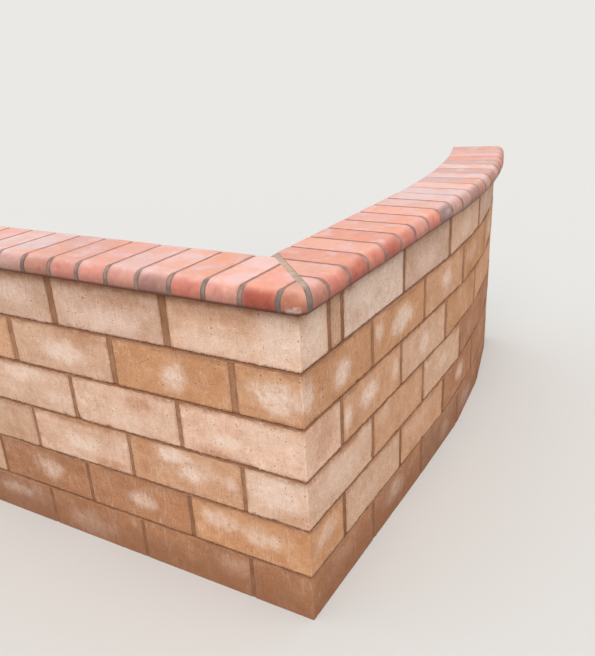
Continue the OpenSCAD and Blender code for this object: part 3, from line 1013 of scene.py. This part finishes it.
def block_material():
    m = Material("weathered_block")
    m.colour = m.value("tint", "Color")
    # Paler and darker clouds and blotches
    m.scale(m.span(m.noise(80, 4, 0.6), 0.48, 0.66, 0, 0.5), (1.14, 1.24, 1.36))
    m.scale(m.span(m.noise(110, 4, 0.6), 0.48, 0.66, 0, 0.5), (0.82, 0.72, 0.62))
    blotches = m.noise(26, 4, 0.6)
    m.scale(m.span(blotches, 0.52, 0.68, 0, 0.4), (1.2, 1.3, 1.42))
    m.scale(m.span(blotches, 0.32, 0.48, 0.4, 0), (0.78, 0.68, 0.6))
    # Rust, with painted warm shade under the coping, and bloom
    cloud = m.noise(18, 5, 0.7)
    m.lay(m.times(m.value("rust"), m.span(cloud, 0.3, 0.55, 0.4, 1)), (196, 134, 92))
    bloom = m.span(m.value("bloom"), -0.05, 0.95)
    m.lay(m.times(bloom, m.span(cloud, 0.33, 0.62, 0.55, 1)), (252, 224, 204))
    # Upright streaks, in places
    streaks = m.noise(4.5, 2, 0.6, m.stretch((1, 1, 0.1)))
    brushed = m.span(m.noise(60), 0.42, 0.62)
    m.lay(m.times(brushed, m.span(streaks, 0.45, 0.65, 0, 0.22)), (252, 226, 206))
    m.lay(m.times(brushed, m.span(streaks, 0.34, 0.5, 0.14, 0)), (170, 120, 90))
    # Grit, flat dabs and pits
    grain = m.noise(3.2, 3, 0.7)
    m.lay(m.span(grain, 0.3, 0.55, 0.34, 0), (158, 108, 80))
    m.lay(m.span(grain, 0.5, 0.72, 0, 0.28), (255, 236, 218))
    dabs = m.noise(9, 3, 0.6, m.stretch((0.55, 0.55, 1)))
    m.scale(m.span(dabs, 0.56, 0.7, 0, 0.4), (1.2, 1.28, 1.38))
    m.scale(m.span(dabs, 0.28, 0.42, 0.4, 0), (0.76, 0.68, 0.6))
    pits = m.times(m.span(m.cells(13), 0.09, 0.19, 1, 0), m.span(m.noise(26, 2), 0.53, 0.6))
    m.lay(m.times(pits, 0.75), (106, 70, 52))
    # Smeared mortar, the torn lower edge darkened in specks partly as painted shade, and soil towards the
    # foot
    m.lay(m.times(m.value("smear"), m.span(m.noise(12, 4, 0.6), 0.3, 0.6, 0.3, 0.8)), (166, 120, 90))
    m.lay(m.times(m.value("ragged"), m.span(m.noise(5, 3, 0.6), 0.48, 0.6, 0, 0.7)), (132, 84, 58))
    height = m.math("ADD", m.up(m.place), m.times(m.noise(90, 4), -0.14))
    m.lay(m.span(height, -0.05, 0.09, 0.6, 0), (140, 92, 64))
    m.bump(m.noise(22, 4, 0.6), 1.2)
    m.bump(grain, 1)
    m.bump(m.times(pits, -1), 1.8)
    return m.finish(0.92, 0.25)


def mortar_material():
    m = Material("brown_mortar")
    m.colour = m.tones(m.span(m.noise(40, 4), 0.35, 0.65), (170, 122, 90), (190, 142, 108))
    # Painted shade: darker as far as the shade value goes, towards a bed's top and a head joint's sides
    m.lay(m.times(m.value("shade"), 0.85), (116, 68, 44))
    grain = m.noise(2.6, 3, 0.7)
    m.lay(m.span(grain, 0.3, 0.65, 0.45, 0), (110, 74, 54))
    m.bump(m.noise(12, 4, 0.6), 1.2)
    m.bump(grain, 1)
    return m.finish(0.95, 0.2)


def brick_material():
    m = Material("clay_brick")
    m.colour = m.value("tint", "Color")
    m.scale(m.span(m.noise(55, 4, 0.6), 0.46, 0.66, 0, 0.5), (1.2, 1.5, 1.35))
    m.scale(m.span(m.noise(34, 4, 0.6), 0.48, 0.68, 0, 0.4), (0.66, 0.52, 0.54))
    # The paler top, partly dust and partly painted sheen, with warm and lilac clouds
    dust_and_sheen_share = m.times(m.value("dust"), m.span(m.noise(45, 4), 0.25, 0.55, 0.75, 1))
    m.colour = m.mix(dust_and_sheen_share, m.colour, m.value("top", "Color"))
    m.lay(m.times(dust_and_sheen_share, m.span(m.noise(85), 0.48, 0.64, 0, 0.55)), (224, 150, 118))
    m.lay(m.times(dust_and_sheen_share, m.span(m.noise(65), 0.5, 0.66, 0, 0.55)), (216, 182, 182))
    # Dark specks and paler patches
    m.lay(m.times(m.span(m.noise(4.5, 3, 0.6), 0.58, 0.72), 0.18), (140, 80, 66))
    m.scale(m.times(m.span(m.noise(16, 4, 0.65), 0.54, 0.7), 0.4), (1.25, 1.35, 1.4))
    # Torn mortar along the edges and in patches, and painted shade on the underside
    torn = m.span(m.noise(9, 4, 0.7), 0.3, 0.6, 0.3, 1)
    m.lay(m.times(m.times(m.value("smear"), torn), 0.5), (172, 134, 118))
    m.lay(m.times(m.value("patch"), torn), (216, 186, 178))
    upward = m.up(m.add("NewGeometry")["Normal"])
    # Painted shade: faces turned down are darkened
    m.lay(m.span(upward, -0.55, 0.2, 0.85, 0), (108, 62, 48))
    m.bump(m.noise(28), 0.8)
    m.bump(m.noise(3.5, 3, 0.6), 0.25)
    return m.finish(0.6, 0.35)


def grey_mortar_material():
    m = Material("grey_mortar")
    cloud = m.span(m.noise(24, 4), 0.35, 0.65)
    edge = m.math("ADD", m.value("edge"), m.times(m.noise(8, 4), 0.4))
    # Between the noses
    m.colour = m.tones(cloud, (122, 106, 97), (150, 132, 122))
    # Painted shade along the joint's edges, in the crevice against the bricks
    m.lay(m.span(edge, 0.75, 1.2, 0, 0.75), (92, 70, 60))
    m.colour = m.mix(m.value("warm"), m.colour, m.tones(cloud, (158, 112, 100), (190, 142, 130)))
    m.lay(m.times(m.value("beige"), 0.3), (118, 100, 98))
    grey = m.colour
    # On the flat top, where the mitre is beige
    m.colour = m.tones(cloud, (196, 146, 130), (214, 166, 152))
    # Painted shade of the joint's groove: a thin darker line along its middle
    m.lay(m.span(edge, 0.3, 0.85, 0.85, 0), (128, 92, 82))
    m.colour = m.mix(m.value("beige"), m.colour, m.tones(cloud, (174, 150, 132), (196, 172, 152)))
    m.colour = m.mix(m.value("nose"), m.colour, grey)
    grain = m.noise(2.4, 3, 0.7)
    m.lay(m.span(grain, 0.3, 0.65, 0.3, 0), (104, 86, 78))
    m.bump(m.noise(10, 4, 0.6), 1)
    m.bump(grain, 0.8)
    return m.finish(0.95, 0.2)


LOOKS = {
    "tan_block": block_material(),
    "block_mortar": mortar_material(),
    "clay_brick": brick_material(),
    "grey_mortar": grey_mortar_material(),
}


# The wall. Each solid has a seed of its own.

def make_blocks():
    """The corner block of an odd course is the left wing's, and its end shows on the right wing's face."""
    for n in NUMBERS:
        left, right = LEFT_MARKS[n], RIGHT_MARKS[n]
        wings = (
            ("left", left_rows[n], LEFT_TONES[n], left, right if n % 2 == 1 else None, 100 * n),
            ("right", right_rows[n], RIGHT_TONES[n], right, left if n % 2 == 0 else None, 1000 + 100 * n),
        )
        for wing, row, words, marks, end_marks, seed in wings:
            piles = defaultdict(Pile)
            for k, stretch in enumerate(row):
                part = "bend" if stretch.outer[0][1] > BEND_START else wing
                colour = pick(BLOCK_TONES, words, k)
                add_block(piles[part], stretch, colour, marks, end_marks, seed + k, stretch is row[-1])
                end_marks = None
            for part, pile in piles.items():
                pile.piece(f"{part}_blocks_{n}", "tan_block", [f"{part}_course_{n}"])
    pile = Pile()
    for k, (stretch, word) in enumerate(zip((face_closer, back_slip), CLOSER_TONES)):
        add_block(pile, stretch, BLOCK_TONES[word], [], None, seed=2000 + k)
    pile.piece("closer_blocks", "tan_block", ["top_closers"])


def make_mortar():
    left, straight, bent = Pile(), Pile(), Pile()
    thickness = WALL_THICKNESS * MM
    inside, back = CORNER[0] - thickness, CORNER[1] + thickness
    far = left_rows[1][-1].outer[1][0]
    for n in range(COURSES):
        low = left_rows[n + 1][0].high
        high = low + BED_HEIGHT
        outer = [CORNER, (far, CORNER[1])]
        inner = [(CORNER[0], back), (far, back)]
        add_bed(left, Stretch(outer, inner, low, high), seed=300 + n)
        parts = ((straight, back - BED_LAP * MM, BEND_START), (bent, BEND_START - BEND_LAP * MM, math.inf))
        for pile, start, end in parts:
            foot, top = (
                [clipped(face_line(k, side), start, end) for side in ("outer", "inner")] for k in (n + 1, n)
            )
            add_bed(pile, Stretch(*foot, low, high, top), seed=320 + n, ends=False)
    for n in NUMBERS:
        row = left_rows[n]
        if n % 2 == 0:
            corner_end = (inside, CORNER[1]), (inside, back)
            add_head(left, n, corner_end, row[0].end(0), seed=400 + 10 * n)
        for k in range(1, len(row)):
            end = row[k - 1].outer[1]
            add_head(left, n, (end, (end[0], back)), row[k].end(0), seed=401 + 10 * n + k)
        row = right_rows[n]
        if n % 2 == 1:
            start = CORNER[1] + (left_rows[n][0].size[1] if n == 1 else WALL_THICKNESS) * MM
            before = (CORNER[0], start), (inside, start)
            if n == 1:
                add_head(straight, n, before, face_closer.end(0), seed=500)
                before = face_closer.end(1)
                slip_end = (inside, back_slip.outer[0][1]), (inside, back)
                add_head(left, n, slip_end, back_slip.end(0), seed=502)
            add_head(straight, n, before, row[0].end(0), seed=501 + 10 * n)
        for k in range(1, len(row)):
            pile = bent if row[k - 1].outer[1][1] > BEND_START else straight
            add_head(pile, n, row[k - 1].end(1), row[k].end(0), seed=600 + 10 * n + k)
    left.piece("left_wing_mortar", "block_mortar", ["left_mortar"])
    straight.piece("right_wing_mortar", "block_mortar", ["right_mortar"])
    bent.piece("bend_wing_mortar", "block_mortar", ["bend_mortar"])


CREASE = 50


def make_coping():
    wings = (("left", left_bricks, LEFT_BRICKS, -1, 700), ("right", right_bricks, RIGHT_BRICKS, 1, 800))
    for wing, bricks, words, side, seed in wings:
        piles = defaultdict(Pile)
        for k, (node, run, width) in enumerate(bricks):
            add_brick(piles[node], run, width, side, k == 0, pick(BRICK_TONES, words, k), seed + k)
        for node, pile in piles.items():
            pile.piece(f"{node}_bricks", "clay_brick", [node], CREASE)
        piles = defaultdict(Pile)
        for k, (before, after) in enumerate(itertools.pairwise(bricks), 1):
            part = "bend" if after[0] == "bend_coping" else wing
            add_joint(piles[f"{part}_coping_joints"], before[1:], after[1:], side, seed + 50 + k)
        for node, pile in piles.items():
            pile.piece(f"{node}_mortar", "grey_mortar", [node], CREASE)
    pile = Pile()
    add_mitre_joint(pile)
    pile.piece("mitre_mortar", "grey_mortar", ["mitre_joint"], CREASE)


make_blocks()
make_mortar()
make_coping()


# Floor, background and light. The camera sees a pale floor that fades into the background, and light bounces
# off it as off dull ground.

FLOOR_SIZE = 1200.0
FLOOR_SEEN = linear(206, 204, 200)
FLOOR_BOUNCE = linear(88, 72, 58)
BACKGROUND = linear(234, 233, 230)
FADE_FROM = 2.5
FADE_TO = 12.0


def seen_by_camera(m):
    """1 for rays that show a thing: straight from the camera, or by way of metal or glass."""
    path = m.add("LightPath")
    seen = m.math("ADD", path["Is Camera Ray"], path["Is Glossy Ray"])
    return m.math("MINIMUM", m.math("ADD", seen, path["Is Transmission Ray"]), 1.0)


def make_floor():
    mesh = bpy.data.meshes.new("floor")
    half = FLOOR_SIZE / 2
    corners = [(-half, -half, 0), (half, -half, 0), (half, half, 0), (-half, half, 0)]
    mesh.from_pydata(corners, [], [(0, 1, 2, 3)])
    m = Material("pale_floor")
    seen = seen_by_camera(m)
    m.colour = m.mix(seen, FLOOR_BOUNCE, FLOOR_SEEN)
    m.bump(m.noise(8), 0.05)
    m.finish(0.9, 0.1)
    distance = m.add("VectorMath", {0: m.place}, operation="LENGTH")["Value"]
    fade = m.times(seen, m.span(distance, FADE_FROM, FADE_TO))
    glow = m.add("Emission", {"Color": BACKGROUND})[0]
    mixed = m.add("MixShader", {0: fade, 1: m.shader.outputs[0], 2: glow})[0]
    m.fill(m.tree.nodes["Material Output"], {"Surface": mixed})
    mesh.materials.append(m.material)
    floor = add_object("floor", mesh)


# The light is that of a bright overcast sky, strongest from above
SKY_TONE = (0.98, 0.99, 1.0, 1.0)
SKY_OVERHEAD = 0.92
SKY_AT_HORIZON = 0.72
SKY_OVERHEAD_FROM = 0.8
SUN_STRENGTH = 2.3
SUN_SPREAD = 60
SUN_FROM = (0.44, -0.62, 0.65)


def make_light():
    world = bpy.data.worlds.new("sky")
    world.use_nodes = True
    world.node_tree.nodes.clear()
    m = Nodes(world, "Generated")
    strength = m.add("MapRange", {
        "Value": m.up(m.place), "From Max": SKY_OVERHEAD_FROM,
        "To Min": SKY_AT_HORIZON, "To Max": SKY_OVERHEAD
    })["Result"]
    light = m.add("Background", {"Color": SKY_TONE, "Strength": strength})[0]
    seen = m.add("Background", {"Color": BACKGROUND})[0]
    path = m.add("LightPath")["Is Camera Ray"]
    choose = m.add("MixShader", {0: path, 1: light, 2: seen})[0]
    m.add("OutputWorld", {"Surface": choose})
    bpy.context.scene.world = world
    sun = bpy.data.lights.new("soft_sun", "SUN")
    sun.energy = SUN_STRENGTH
    sun.angle = math.radians(SUN_SPREAD)
    lamp = add_object("soft_sun", sun)
    lamp.rotation_euler = Vector(SUN_FROM).to_track_quat("Z", "Y").to_euler()


make_floor()
make_light()
bpy.context.scene.view_settings.view_transform = "Standard"
